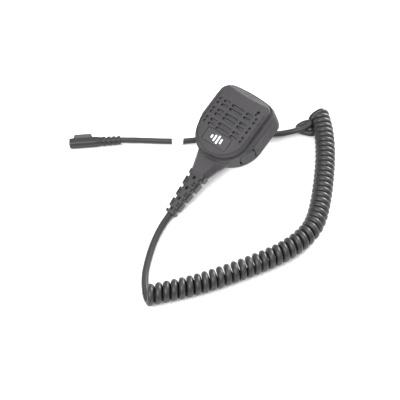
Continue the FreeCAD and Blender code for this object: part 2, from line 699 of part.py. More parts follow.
def inner_cable():
    add("inner_cable", rod(CORD_R, (0, 0.1, 0), (0, 57.5, 0)))
    clamp = box(-6.2, 6.2, *CLAMP_Y, -0.95, 3.5)
    add("cable_clamp", clamp.cut(rod(CORD_R, (0, 40, 0), (0, 60, 0))))
    wires = []
    for x in (-1.35, -0.45, 0.45, 1.35):
        wires.append(rod(0.4, (x, 57.8, 0), (x * 1.8, 66.0, -3.0)))
    add("inner_wires", Part.makeCompound(wires))


# ---------------------------------------------------------------- clip
def clip_point(x, t, q):
    """Clip frame: t towards the handset's top from the swivel's centre, q away from its back."""
    return (x, CLIP_Y + t, BACK_Z - q)


def clip_profile(points, x0, x1):
    """Extrude a (t, q) outline from x0 to x1."""
    ring = [vec(*clip_point(x0, t, q)) for t, q in points + points[:1]]
    return Part.Face(Part.makePolygon(ring)).extrude(vec(x1 - x0, 0, 0))


def clip_bar(r, x0, x1, t, q):
    return rod(r, clip_point(x0, t, q), clip_point(x1, t, q))


def clip_post(r, q0, q1):
    """Round bar on the swivel's axis."""
    return rod(r, clip_point(0, 0, q0), clip_point(0, 0, q1))


def clip_frame():
    q0, q1 = PLATE_Q
    plate = rounded_prism(20.0, 27.0, 3.0, q1 - q0)
    plate.translate(vec(*clip_point(0, -4.5, q1)))
    ears = []
    for x0, x1 in ((-10.0, -8.5), (8.5, 10.0)):
        ear = clip_profile([(-6.5, q1 - 0.2), (6.5, q1 - 0.2), (HUB_R, PIN_Q), (-HUB_R, PIN_Q)], x0, x1)
        ears.append(ear.fuse(clip_bar(HUB_R, x0, x1, 0, PIN_Q)))
    teeth = []
    for i in range(3):
        t = -16.8 + 2.2 * i
        teeth.append(clip_profile([(t, q1 + 0.1), (t + 1.1, q1 - 0.5), (t + 2.0, q1 + 0.1)], -7.5, 7.5))
    bores = [clip_bar(PIN_R, -12, 12, 0, PIN_Q), clip_post(BUSH_R + RUN_GAP, 0, 6)]
    add("clip_frame", cut(fuse([plate] + ears), bores + teeth))


def clip_jaw():
    """Sprung jaw: its lever's tab is the foot that the handset leans on."""
    lean = math.radians(LEAN)
    floor_q = (EXIT[2] + (CLIP_Y + TAB_T) * math.sin(lean)) / math.cos(lean) + BACK_Z
    outline = [(-18.0, 3.4), (-17.6, 5.6), (-12.0, 10.6), (-6.0, 14.0), (-1.5, 16.0),
               (TAB_T - 2.8, floor_q - 1.6), (TAB_T, floor_q), (TAB_T + 1.4, floor_q - 1.0), (2.4, 15.0),
               (0.5, 14.2), (-5.2, 12.2), (-11.0, 8.8), (-15.6, 4.9), (-16.2, 3.4)]
    flange = [(-13.0, 9.9), (-6.0, 14.0), (-1.5, 15.6), (2.6, 13.6), (HUB_R, PIN_Q),
              (-HUB_R, PIN_Q - 1.5), (-11.5, 8.6)]
    pieces = [clip_profile(outline, -6.2, 6.2)]
    for x0, x1 in ((-8.2, -6.1), (6.1, 8.2)):
        pieces.append(clip_profile(flange, x0, x1).fuse(clip_bar(HUB_R, x0, x1, 0, PIN_Q)))
    add("clip_jaw", fuse(pieces).cut(clip_bar(PIN_R + RUN_GAP, -12, 12, 0, PIN_Q)))
    add("clip_pin", clip_bar(PIN_R, -10.4, 10.4, 0, PIN_Q))
    spring_q = PIN_Q - 0.7
    add("clip_spring", clip_bar(2.4, -5.4, 5.4, 0, spring_q).cut(clip_bar(1.8, -6, 6, 0, spring_q)))


def clip_swivel():
    """Bush, washer and screw that the clip turns on."""
    q0, q1 = PLATE_Q
    hole = clip_post(1.5, -3, 9)
    add("clip_bush", clip_post(BUSH_R, q0 - 0.1, q1 + 0.1).cut(hole))
    add("clip_washer", clip_post(5.6, q1 + 0.1, q1 + 0.8).cut(hole))
    slot_z = (BACK_Z - q1 - 2.5, BACK_Z - q1 - 1.4)
    cross = fuse([box(-2.0, 2.0, CLIP_Y - 0.4, CLIP_Y + 0.4, *slot_z),
                  box(-0.4, 0.4, CLIP_Y - 2.0, CLIP_Y + 2.0, *slot_z)])
    head = clip_post(3.6, q1 + 0.8, q1 + 2.4)
    add("clip_screw", head.fuse(clip_post(1.45, -3.6, q1 + 0.9)).cut(cross))


# ---------------------------------------------------------------- cord
def tube(name, points, radius):
    """Plain round tube: straight runs joined by tangent arcs. Prints its tightest bend and volume."""
    pts = [vec(*p) for p in points]
    edges = []
    start = pts[0]
    tightest = math.inf
    for before, corner, after in zip(pts, pts[1:], pts[2:]):
        a = before - corner
        b = after - corner
        half_turn = (math.pi - a.getAngle(b)) / 2
        reach = 0.45 * min(a.Length, b.Length)
        bend = reach / math.tan(half_turn)
        tightest = min(tightest, bend)
        ua = a.normalize()
        ub = b.normalize()
        p0 = corner + ua * reach
        p2 = corner + ub * reach
        bisector = (ua + ub).normalize()
        p1 = corner + bisector * (bend / math.cos(half_turn) - bend)
        edges.append(Part.LineSegment(start, p0).toShape())
        edges.append(Part.Arc(p0, p1, p2).toShape())
        start = p2
    edges.append(Part.LineSegment(start, pts[-1]).toShape())
    path = Part.Wire(edges)
    section = Part.Wire([Part.makeCircle(radius, pts[0], pts[1] - pts[0])])
    solid = path.makePipeShell([section], True, False)
    ideal = math.pi * radius ** 2 * path.Length
    print(f"{name}: length {path.Length:.1f}, tightest bend {tightest:.1f}, volume {solid.Volume / ideal:.4f}")
    parts[name] = solid


def cord():
    tube("cord_lead", LEAD_ROUTE, CORD_R)
    tube("cord_coil", [(x, y, COIL_Z) for x, y in COIL_ROUTE], COIL_R)
    parts["cord_loop"] = upright(LOOP_R, *LOOP_CENTRE, FLOOR_GAP, FLOOR_GAP + LOOP_HEIGHT)
    tube("cord_tail", TAIL_ROUTE, TAIL_R)


def tail_label():
    """A blank paper tag: a sleeve round the tail and a flag that stands off it."""
    before, after = (vec(*TAIL_ROUTE[i]) for i in TAG_RUN)
    way = (after - before).normalize()
    start = (before + after) * 0.5 - way * (TAG_LEN / 2)
    sleeve = Part.makeCylinder(TAIL_R + 0.2, TAG_LEN, start, way)
    sleeve = sleeve.cut(Part.makeCylinder(TAIL_R + 0.02, TAG_LEN + 2, start - way, way))
    flag = Part.makeBox(TAG_LEN, TAG_WIDE, TAG_THICK, vec(0, TAIL_R + 0.1, 0))
    flag.rotate(vec(0, 0, 0), vec(1, 0, 0), TAG_TILT)
    flag.rotate(vec(0, 0, 0), vec(0, 0, 1), math.degrees(math.atan2(way.y, way.x)))
    flag.translate(start)
    parts["tail_label"] = sleeve.fuse(flag)


# ---------------------------------------------------------------- plug
def place_plug(shape):
    """Plug frame (x along it from the cord, y away from its contacts, z up) to row frame."""
    placed = shape.copy()
    placed.rotate(vec(0, 0, 0), vec(0, 0, 1), PLUG_HEADING)
    placed.translate(vec(*TAIL_ROUTE[-1]))
    return placed


def plug_section(x, half, rounding):
    """Rounded square across the plug."""
    section = rounded_prism(2 * half, 2 * half, rounding, 1.0)
    section.rotate(vec(0, 0, 0), vec(0, 1, 0), 90)
    section.translate(vec(x, 0, 0))
    end = min(section.Faces, key=lambda f: f.CenterOfMass.x)
    return end.OuterWire


def plug_relief():
    bands = [cone(2.9, 3.1, (0, 0, 0), (PLUG_RELIEF_LEN, 0, 0))]
    for i in range(PLUG_BANDS):
        x = PLUG_BAND_PITCH * i
        band = rod(3.75 + 0.1 * i, (x, 0, 0), (x + PLUG_BAND_LEN, 0, 0))
        rims = [e for e in band.Edges if e.Curve.TypeId == "Part::GeomCircle"]
        bands.append(band.makeFillet(0.4, rims))
    parts["plug_relief"] = place_plug(fuse(bands))


def plug():
    x0 = PLUG_RELIEF_LEN
    x1 = x0 + PLUG_SHOULDER
    x2 = x0 + PLUG_LEN
    shoulder = loft([plug_section(x0, PLUG_HALF - 0.7, PLUG_ROUND - 0.5), plug_section(x1, PLUG_HALF, PLUG_ROUND)])
    bar = loft([plug_section(x1, PLUG_HALF, PLUG_ROUND), plug_section(x2, PLUG_HALF, PLUG_ROUND)])
    body = fuse([shoulder, bar])
    body = body.makeFillet(1.3, [e for e in body.Edges if e.BoundBox.XMin > x2 - 0.01])
    parts["plug_body"] = place_plug(body)

    (p0, p1), (y0, y1) = PLATE_X, PLATE_Y
    ring = [vec(x, y, -PLATE_HALF) for x, y in ((p0, y0), (p1, y0), (p1 - 1.2, y1), (p0 + 1.2, y1), (p0, y0))]
    face = Part.Face(Part.makePolygon(ring)).extrude(vec(0, 0, 2 * PLATE_HALF))
    parts["plug_face"] = place_plug(face.cut(body))
    pins = []
    for side in (-0.5, 0.5):
        x = (p0 + p1) / 2 + side * CONTACT_PITCH
        pin = rod(CONTACT_R, (x, y1, 0), (x, y1 - CONTACT_R, 0))
        pins.append(pin.fuse(Part.makeSphere(CONTACT_R, vec(x, y1 - CONTACT_R, 0))))
    parts["plug_pins"] = place_plug(Part.makeCompound(pins))


# ---------------------------------------------------------------- build and export
def build():
    shell = casing_outer().cut(casing_hollow())
    front_cover(shell)
    rear_cover(shell)
    for make in (cover_gasket, case_screws, front_panel, label, grille_mesh, speaker, microphone, board,
                 push_to_talk, jack, strain_relief, inner_cable, clip_frame, clip_jaw, clip_swivel,
                 cord, tail_label, plug_relief, plug):
        make()


def export():
    os.makedirs("parts", exist_ok=True)
    for name, shape in parts.items():
        solids = shape.Solids
        if not shape.isValid() or not solids:
            print("BAD", name, shape.ShapeType, len(solids))
        if len(solids) == 1:
            shape = solids[0]
        shape.exportStep(f"parts/{name}.step")
    handset = [s for n, s in parts.items() if not n.startswith(("cord_", "tail_", "plug_"))]
    bounds = Part.makeCompound(handset).BoundBox
    print(f"{len(parts)} parts; handset x {bounds.XMin:.2f}..{bounds.XMax:.2f}"
          f" y {bounds.YMin:.2f}..{bounds.YMax:.2f} z {bounds.ZMin:.2f}..{bounds.ZMax:.2f}")


build()
export()
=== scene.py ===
"""Looks for a hand microphone: moulded casing, slotted grille, ribbed strain relief, curly cord and side plug."""

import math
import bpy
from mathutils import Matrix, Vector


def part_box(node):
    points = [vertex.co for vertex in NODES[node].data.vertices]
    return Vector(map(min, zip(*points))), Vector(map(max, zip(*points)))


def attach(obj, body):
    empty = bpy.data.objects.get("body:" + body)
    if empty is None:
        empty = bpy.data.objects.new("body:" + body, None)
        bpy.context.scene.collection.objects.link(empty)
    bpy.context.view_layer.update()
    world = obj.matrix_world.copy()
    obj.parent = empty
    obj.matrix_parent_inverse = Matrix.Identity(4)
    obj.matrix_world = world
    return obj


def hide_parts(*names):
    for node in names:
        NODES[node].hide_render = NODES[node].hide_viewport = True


bl_info = {
    "name": "Hand Microphone",
    "version": (1, 0, 0),
    "blender": (4, 5, 0),
    "location": "View3D > Sidebar > Hand Mic",
    "description": "Builds the finishes, the curly cord and the small soft pieces of a speaker microphone",
    "category": "Object",
}

import bmesh
import bpy
from mathutils import Vector

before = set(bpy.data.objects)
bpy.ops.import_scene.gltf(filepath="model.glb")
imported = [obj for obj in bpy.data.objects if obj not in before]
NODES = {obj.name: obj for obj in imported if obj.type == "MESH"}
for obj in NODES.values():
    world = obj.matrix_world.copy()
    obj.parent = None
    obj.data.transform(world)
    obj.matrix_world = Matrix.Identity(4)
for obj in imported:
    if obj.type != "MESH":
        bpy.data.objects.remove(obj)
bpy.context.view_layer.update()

MM = 0.001

# Route of the cord in metres: the straight lead, the coil's axis, the last loose loop and the tail.
LEAD_ROUTE = [
    (0.0000, -0.0570, 0.00440), (0.0003, -0.0646, 0.00275), (0.0024, -0.0745, 0.00275), (0.0054, -0.0842, 0.00275),
    (0.0089, -0.0926, 0.00275), (0.0130, -0.1012, 0.00275), (0.0173, -0.1089, 0.00275), (0.0217, -0.1148, 0.00275),
    (0.0263, -0.1198, 0.00275), (0.0312, -0.1243, 0.00275),
]
COIL_ROUTE = [
    (0.0330, -0.1252), (0.0415, -0.1149), (0.0506, -0.1036), (0.0603, -0.0902), (0.0698, -0.0746),
    (0.0776, -0.0612), (0.0854, -0.0468), (0.0922, -0.0330), (0.0971, -0.0176), (0.0989, -0.0046), (0.0976, 0.0066),
    (0.0928, 0.0200), (0.0866, 0.0334), (0.0792, 0.0478), (0.0712, 0.0620), (0.0626, 0.0752), (0.0552, 0.0849),
    (0.0474, 0.0937), (0.0399, 0.1006),
]
LOOP_ROUTE = [
    (0.0372, 0.0948, 0.0098), (0.0368, 0.0928, 0.0062), (0.0392, 0.0914, 0.0036), (0.0430, 0.0890, 0.00265),
    (0.0464, 0.0858, 0.00265), (0.0448, 0.0826, 0.00265), (0.0416, 0.0812, 0.00265), (0.0378, 0.0797, 0.00265),
    (0.0340, 0.0788, 0.00275), (0.0317, 0.0803, 0.00310), (0.0322, 0.0834, 0.00390), (0.0348, 0.0866, 0.0058),
    (0.0382, 0.0884, 0.0079), (0.0402, 0.0866, 0.0085), (0.0394, 0.0828, 0.0083),
]
TAIL_ROUTE = [
    (0.0374, 0.0786, 0.00740), (0.0334, 0.0752, 0.00570), (0.0289, 0.0716, 0.00340), (0.0246, 0.0674, 0.00255),
    (0.0204, 0.0632, 0.00255), (0.0134, 0.0576, 0.00255), (0.0036, 0.0516, 0.00255), (-0.0080, 0.0438, 0.00255),
    (-0.0184, 0.0322, 0.00255), (-0.0264, 0.0200, 0.00255), (-0.0366, 0.0086, 0.00255), (-0.0476, 0.0002, 0.00255),
    (-0.0588, -0.0081, 0.00255), (-0.0706, -0.0166, 0.00295), (-0.0809, -0.0259, 0.00420),
]
TAG_RUN = (11, 10)                  # run of the tail that the paper tag sits on
SPRING_BODY = "clip_base"
SPRING_STEPS = 16                   # control points in one turn of the clip's spring

FULL_TURN = 2 * math.pi
COIL_EASE = 0.04                    # share of the coil over which its pitch changes
TABLE_GAP = 0.05 * MM               # air under the coil
TOP_OF_TURN = 0.98                  # sine of the last turn's angle where the wire leaves for the loop

TAG_STEPS = 8                       # quads along the flag, and along the cord
TAG_LOOP_STEPS = 24                 # quads round the cord
TAG_LOOP_START = -40                # degrees from the flag to where the sheet meets the cord
TAG_LOOP_SWEEP = 280                # degrees that the sheet goes round the cord
FLAG_START = 1.35                   # where the two ends come together, in radii of the loop
FLAG_CURL = 1.2 * MM                # how far the flag's tip bends up
GLUE_GAP = 1.2                      # half the distance between the two ends, in thicknesses of paper

WAVE_PHASE = 20                     # phase in radians that the wave texture gains in one unit at scale 1
METAL_STREAK = 0.06                 # width over length of the lines in drawn metal
PLAIN_WHITE = "#FFFFFF"

FLOOR_HALF = 3.0
AIM = Vector((0.0091, -0.0298, 0.0))        # point on the table in the middle of the view
KEY_PLACE = (-0.45, -0.45, 0.95)            # across, away and up from that point
KEY_SIZE = 0.5
SIDE_PLACE = (0.75, 0.75, 0.4)
SIDE_SIZE = 0.4


# ---------------------------------------------------------------- settings
class CordSettings(bpy.types.PropertyGroup):
    wire_diameter: bpy.props.FloatProperty(
        name="Wire diameter", description="Outside of the cord's jacket in the coil", default=0.0052, unit="LENGTH")
    lead_swell: bpy.props.FloatProperty(
        name="Lead swell", description="Lead's thickness over the coil's", default=1.05, subtype="FACTOR")
    tail_swell: bpy.props.FloatProperty(
        name="Tail swell", description="Tail's thickness over the coil's", default=0.96, subtype="FACTOR")
    coil_diameter: bpy.props.FloatProperty(
        name="Coil diameter", description="Outside of the curly part", default=0.0170, unit="LENGTH")
    open_pitch: bpy.props.FloatProperty(
        name="Open pitch", description="Turn to turn where the coil is a little stretched", default=0.00605,
        unit="LENGTH")
    closed_pitch: bpy.props.FloatProperty(
        name="Closed pitch", description="Turn to turn where the coil lies closed", default=0.00512, unit="LENGTH")
    stretched_share: bpy.props.FloatProperty(
        name="Stretched share", description="Share of the coil, from the handset's end, that is stretched",
        default=0.53, subtype="FACTOR")
    points_per_turn: bpy.props.IntProperty(
        name="Points per turn", description="Control points in one turn of the coil", default=16)


class FinishSettings(bpy.types.PropertyGroup):
    housing: bpy.props.StringProperty(name="Housing", description="Moulded casing, sRGB hex", default="#2D2A2D")
    rubber: bpy.props.StringProperty(name="Rubber", description="Strain relief and plug, sRGB hex", default="#1B191B")
    pad: bpy.props.StringProperty(name="Soft pad", description="Button and jack flap, sRGB hex", default="#302E30")
    jacket: bpy.props.StringProperty(name="Cord jacket", description="Cord, sRGB hex", default="#252325")
    cloth: bpy.props.StringProperty(name="Grille cloth", description="Cloth behind the slots, sRGB hex",
                                    default="#5C5C5E")
    insulator: bpy.props.StringProperty(name="Plug insulator", description="Plate that holds the contacts, sRGB hex",
                                        default="#444245")
    paper: bpy.props.StringProperty(name="Paper tag", description="Blank tag, sRGB hex", default="#F4F4F2")
    clip: bpy.props.StringProperty(name="Clip", description="Coated clip, sRGB hex", default="#1E1E1F")


class TagSettings(bpy.types.PropertyGroup):
    length: bpy.props.FloatProperty(name="Tag length", description="Along the cord", default=0.0096, unit="LENGTH")
    flag: bpy.props.FloatProperty(name="Flag", description="How far the flag stands off", default=0.0112,
                                  unit="LENGTH")
    rise: bpy.props.FloatProperty(name="Flag rise", description="Angle of the flag above the table",
                                  default=math.radians(24), subtype="ANGLE")
    paper: bpy.props.FloatProperty(name="Paper", description="Thickness of the paper", default=0.00012, unit="LENGTH")


class SpringSettings(bpy.types.PropertyGroup):
    wire: bpy.props.FloatProperty(name="Spring wire", description="Diameter of the wire", default=0.0009,
                                  unit="LENGTH")
    turns: bpy.props.IntProperty(name="Turns", description="Turns round the clip's pin", default=8)


class StageSettings(bpy.types.PropertyGroup):
    distance: bpy.props.FloatProperty(name="Distance", description="Camera to the point it looks at", default=0.595,
                                      unit="LENGTH")
    elevation: bpy.props.FloatProperty(name="Elevation", description="Camera above the horizon",
                                       default=math.radians(58), subtype="ANGLE")
    heading: bpy.props.FloatProperty(name="Heading", description="Turn of the view from the handset's length",
                                     default=math.radians(38), subtype="ANGLE")
    lens: bpy.props.FloatProperty(name="Lens", description="Focal length in millimetres", default=64.8)
    floor: bpy.props.StringProperty(name="Floor", description="Table top, sRGB hex", default="#FAFAFA")
    overhead: bpy.props.FloatProperty(name="Overhead", description="Strength of the sky straight above", default=1.75)
    horizon: bpy.props.FloatProperty(name="Horizon", description="Strength of the sky near the table", default=0.3)
    key: bpy.props.FloatProperty(name="Key light", description="Softbox over the viewer's left shoulder", default=9.0,
                                 unit="POWER")
    side: bpy.props.FloatProperty(name="Side light", description="Low softbox behind on the right", default=18.0,
                                  unit="POWER")


# ---------------------------------------------------------------- small tools
def linear(hex_colour):
    """sRGB hex to the linear RGBA that a shader takes."""
    parts = [int(hex_colour[i:i + 2], 16) / 255 for i in (1, 3, 5)]
    return [c / 12.92 if c <= 0.04045 else ((c + 0.055) / 1.055) ** 2.4 for c in parts] + [1.0]


def add_node(tree, kind, settings=(), links=()):
    """Add a node. settings: (name, value) of a property, or (socket, value). links: (socket, source socket)."""
    node = tree.nodes.new(kind)
    for name, value in settings:
        if isinstance(name, str) and hasattr(node, name):
            setattr(node, name, value)
        else:
            node.inputs[name].default_value = value
    for name, source in links:
        tree.links.new(source, node.inputs[name])
    return node


def shade(colour, factor):
    """A lighter or darker version of a linear colour."""
    return [min(1.0, c * factor) for c in colour[:3]] + [1.0]


def new_material(name):
    """An empty node material."""
    material = bpy.data.materials.new(name)
    material.use_nodes = True
    material.node_tree.nodes.clear()
    return material


def object_place(tree):
    """Coordinates in metres, fixed to the piece."""
    return add_node(tree, "ShaderNodeTexCoord").outputs["Object"]


def mottled(tree, place, colour, size_mm, spread):
    """Colour that drifts between a darker and a lighter tone in patches of a given size."""
    patches = add_node(tree, "ShaderNodeTexNoise",
                       [("Scale", 1 / (size_mm * MM)), ("Detail", 4.0), ("Roughness", 0.6)], [("Vector", place)])
    ramp = add_node(tree, "ShaderNodeValToRGB", links=[("Fac", patches.outputs["Fac"])])
    ramp.color_ramp.elements[0].position = 0.3
    ramp.color_ramp.elements[0].color = shade(colour, 1 - spread)
    ramp.color_ramp.elements[1].position = 0.7
    ramp.color_ramp.elements[1].color = shade(colour, 1 + spread)
    return ramp.outputs["Color"]


def spark_textured_abs(name, colour, roughness=0.56):
    """ABS moulded in a spark-eroded tool: fine round pits that break the gloss into an even, dry, grainy sheen."""
    material = new_material(name)
    tree = material.node_tree
    place = object_place(tree)
    # the pits are about 0.15 mm across in a real tool; drawn at 0.9 mm, over 1.1 mm patches, so that the grain shows
    tone = mottled(tree, place, colour, 1.1, 0.35)
    pits = add_node(tree, "ShaderNodeTexVoronoi", [("Scale", 1 / (0.9 * MM)), ("feature", "SMOOTH_F1")],
                    [("Vector", place)])
    grit = add_node(tree, "ShaderNodeTexNoise", [("Scale", 1 / (0.4 * MM)), ("Detail", 3.0)], [("Vector", place)])
    height = add_node(tree, "ShaderNodeMath", [("operation", "ADD")],
                      [(0, pits.outputs["Distance"]), (1, grit.outputs["Fac"])])
    bump = add_node(tree, "ShaderNodeBump", [("Strength", 0.8), ("Distance", 0.25 * MM)],
                    [("Height", height.outputs["Value"])])
    gloss = add_node(tree, "ShaderNodeMapRange", [("To Min", roughness - 0.07), ("To Max", roughness + 0.07)],
                     [("Value", grit.outputs["Fac"])])
    shader = add_node(tree, "ShaderNodeBsdfPrincipled", [("IOR", 1.53)],
                      [("Base Color", tone), ("Roughness", gloss.outputs["Result"]),
                       ("Normal", bump.outputs["Normal"])])
    add_node(tree, "ShaderNodeOutputMaterial", links=[("Surface", shader.outputs["BSDF"])])
    return material


def satin_pvc(name, colour, roughness=0.42):
    """Moulded PVC, polyurethane, rubber or resin: a closed satin skin, a soft highlight and faint flow marks."""
    material = new_material(name)
    tree = material.node_tree
    place = object_place(tree)
    tone = mottled(tree, place, colour, 5.0, 0.1)
    # flow marks 0.5 mm apart
    skin = add_node(tree, "ShaderNodeTexNoise", [("Scale", 1 / (0.5 * MM)), ("Detail", 3.0)], [("Vector", place)])
    bump = add_node(tree, "ShaderNodeBump", [("Strength", 0.15), ("Distance", 0.06 * MM)],
                    [("Height", skin.outputs["Fac"])])
    gloss = add_node(tree, "ShaderNodeMapRange", [("To Min", roughness - 0.05), ("To Max", roughness + 0.07)],
                     [("Value", skin.outputs["Fac"])])
    shader = add_node(tree, "ShaderNodeBsdfPrincipled", [("IOR", 1.52)],
                      [("Base Color", tone), ("Roughness", gloss.outputs["Result"]),
                       ("Normal", bump.outputs["Normal"])])
    add_node(tree, "ShaderNodeOutputMaterial", links=[("Surface", shader.outputs["BSDF"])])
    return material


def woven_cloth(name, colour):
    """Plain-woven acoustic cloth: threads that cross over and under, so it reads as a matt grey screen."""
    material = new_material(name)
    tree = material.node_tree
    place = object_place(tree)
    # real threads are about 0.4 mm apart; a pitch of 0.4 mm times 2 pi, or 2.5 mm, is what is drawn
    threads = [add_node(tree, "ShaderNodeTexWave",
                        [("bands_direction", direction), ("Scale", 1 / (WAVE_PHASE * 0.4 * MM))], [("Vector", place)])
               for direction in ("X", "Y")]
    weave = add_node(tree, "ShaderNodeMath", [("operation", "MAXIMUM")],
                     [(0, threads[0].outputs["Fac"]), (1, threads[1].outputs["Fac"])])
    ramp = add_node(tree, "ShaderNodeValToRGB", links=[("Fac", weave.outputs["Value"])])
    ramp.color_ramp.elements[0].color = shade(colour, 0.6)
    ramp.color_ramp.elements[1].color = colour
    bump = add_node(tree, "ShaderNodeBump", [("Strength", 0.8), ("Distance", 0.1 * MM)],
                    [("Height", weave.outputs["Value"])])
    shader = add_node(tree, "ShaderNodeBsdfPrincipled", [("Roughness", 0.85), ("IOR", 1.45)],
                      [("Base Color", ramp.outputs["Color"]), ("Normal", bump.outputs["Normal"])])
    add_node(tree, "ShaderNodeOutputMaterial", links=[("Surface", shader.outputs["BSDF"])])
    return material


def drawn_metal(name, colour, roughness, grain_mm):
    """Drawn or pressed metal, plated or bare: fine lines left by the tool catch the light in streaks."""
    material = new_material(name)
    tree = material.node_tree
    place = object_place(tree)
    # tool lines are about 0.05 mm apart; drawn several times coarser so that they show
    stretch = add_node(tree, "ShaderNodeMapping", [("Scale", (1.0, METAL_STREAK, 1.0))], [("Vector", place)])
    lines = add_node(tree, "ShaderNodeTexNoise", [("Scale", 1 / (grain_mm * MM)), ("Detail", 3.0)],
                     [("Vector", stretch.outputs["Vector"])])
    gloss = add_node(tree, "ShaderNodeMapRange", [("To Min", roughness - 0.08), ("To Max", roughness + 0.08)],
                     [("Value", lines.outputs["Fac"])])
    bump = add_node(tree, "ShaderNodeBump", [("Strength", 0.15), ("Distance", 0.03 * MM)],
                    [("Height", lines.outputs["Fac"])])
    tone = mottled(tree, place, colour, 4.0, 0.06)
    shader = add_node(tree, "ShaderNodeBsdfPrincipled", [("Metallic", 1.0)],
                      [("Base Color", tone), ("Roughness", gloss.outputs["Result"]),
                       ("Normal", bump.outputs["Normal"])])
    add_node(tree, "ShaderNodeOutputMaterial", links=[("Surface", shader.outputs["BSDF"])])
    return material


def powder_coat(name, colour):
    """Powder-coated steel or fired ferrite: a low orange peel under an even half gloss."""
    material = new_material(name)
    tree = material.node_tree
    place = object_place(tree)
    # orange peel about 0.8 mm across
    peel = add_node(tree, "ShaderNodeTexNoise", [("Scale", 1 / (0.8 * MM)), ("Detail", 2.0)], [("Vector", place)])
    bump = add_node(tree, "ShaderNodeBump", [("Strength", 0.3), ("Distance", 0.06 * MM)],
                    [("Height", peel.outputs["Fac"])])
    tone = mottled(tree, place, colour, 5.0, 0.06)
    shader = add_node(tree, "ShaderNodeBsdfPrincipled", [("Roughness", 0.38), ("IOR", 1.5)],
                      [("Base Color", tone), ("Normal", bump.outputs["Normal"])])
    add_node(tree, "ShaderNodeOutputMaterial", links=[("Surface", shader.outputs["BSDF"])])
    return material


def matt_paper(name, colour):
    """Pressed or coated paper, or a printed layer: matt, with a faint fibre grain."""
    material = new_material(name)
    tree = material.node_tree
    place = object_place(tree)
    # fibres are about 0.03 mm wide; drawn 0.3 mm apart so that they show
    fibre = add_node(tree, "ShaderNodeTexNoise", [("Scale", 1 / (0.3 * MM)), ("Detail", 5.0)], [("Vector", place)])
    bump = add_node(tree, "ShaderNodeBump", [("Strength", 0.15), ("Distance", 0.03 * MM)],
                    [("Height", fibre.outputs["Fac"])])
    tone = mottled(tree, place, colour, 3.0, 0.02)
    shader = add_node(tree, "ShaderNodeBsdfPrincipled", [("Roughness", 0.7), ("IOR", 1.45)],
                      [("Base Color", tone), ("Normal", bump.outputs["Normal"])])
    add_node(tree, "ShaderNodeOutputMaterial", links=[("Surface", shader.outputs["BSDF"])])
    return material


def solder_masked_board(name):
    """Glass-epoxy board under green solder mask, with faint copper tracks beneath."""
    material = new_material(name)
    tree = material.node_tree
    # blocks of track 3 mm by 1.5 mm
    tracks = add_node(tree, "ShaderNodeTexBrick",
                      [("Scale", 1 / (6.0 * MM)), ("Color1", linear("#1F5A34")), ("Color2", linear("#256B3E")),
                       ("Mortar", linear("#17472A")), ("Mortar Size", 0.06)], [("Vector", object_place(tree))])
    shader = add_node(tree, "ShaderNodeBsdfPrincipled", [("Roughness", 0.35), ("IOR", 1.52)],
                      [("Base Color", tracks.outputs["Color"])])
    add_node(tree, "ShaderNodeOutputMaterial", links=[("Surface", shader.outputs["BSDF"])])
    return material


# ---------------------------------------------------------------- pieces and curves
def dress(material, *names):
    """Give CAD nodes a finish through their objects' material slots."""
    for name in names:
        slots = NODES[name].material_slots
        if not slots:
            raise RuntimeError(f"{name} has no material slot")
        for slot in slots:
            slot.material = material


def strip_mesh(name, rows, thickness):
    """Open strip through rows of points, made solid and smooth."""
    mesh = bpy.data.meshes.new(name)
    bm = bmesh.new()
    grid = [[bm.verts.new(point) for point in row] for row in rows]
    for row, next_row in zip(grid, grid[1:]):
        for i in range(len(row) - 1):
            face = bm.faces.new((row[i], row[i + 1], next_row[i + 1], next_row[i]))
            face.smooth = True
    bmesh.ops.recalc_face_normals(bm, faces=bm.faces)
    bm.to_mesh(mesh)
    bm.free()
    piece = bpy.data.objects.new(name, mesh)
    bpy.context.scene.collection.objects.link(piece)
    solid = piece.modifiers.new("thickness", "SOLIDIFY")
    solid.thickness = thickness
    solid.offset = 0.0
    return piece


def spline_curve(name, points, bevel_radius=0.0, swell=()):
    """One open NURBS spline through control points; swell scales the bevel at each of them."""
    curve = bpy.data.curves.new(name, "CURVE")
    curve.dimensions = "3D"
    spline = curve.splines.new("NURBS")
    spline.points.add(len(points) - 1)
    for point, place in zip(spline.points, points):
        point.co = (*place, 1.0)
    for point, factor in zip(spline.points, swell):
        point.radius = factor
    spline.order_u = 3
    spline.use_endpoint_u = True
    spline.resolution_u = 6
    curve.bevel_depth = bevel_radius
    curve.bevel_resolution = 6
    curve.use_fill_caps = True
    return curve


def points_along(points):
    """Points read from the NURBS spline of a route, with no bevel."""
    curve = spline_curve("route_line", points)
    holder = bpy.data.objects.new("route_line", curve)
    bpy.context.scene.collection.objects.link(holder)
    bpy.context.view_layer.update()
    evaluated = holder.evaluated_get(bpy.context.evaluated_depsgraph_get())
    mesh = bpy.data.meshes.new_from_object(evaluated)
    line = [vertex.co.copy() for vertex in mesh.vertices]
    bpy.data.objects.remove(holder)
    bpy.data.curves.remove(curve)
    bpy.data.meshes.remove(mesh)
    return line


def walk(line):
    """Distances along a line of points."""
    total = [0.0]
    for a, b in zip(line, line[1:]):
        total.append(total[-1] + (b - a).length)
    return total


def place_at(line, distances, s):
    """Point and unit direction at a distance along the line."""
    i = 0
    while s > distances[i + 1] and i < len(line) - 2:
        i += 1
    way = line[i + 1] - line[i]
    return line[i] + way * ((s - distances[i]) / way.length), way.normalized()


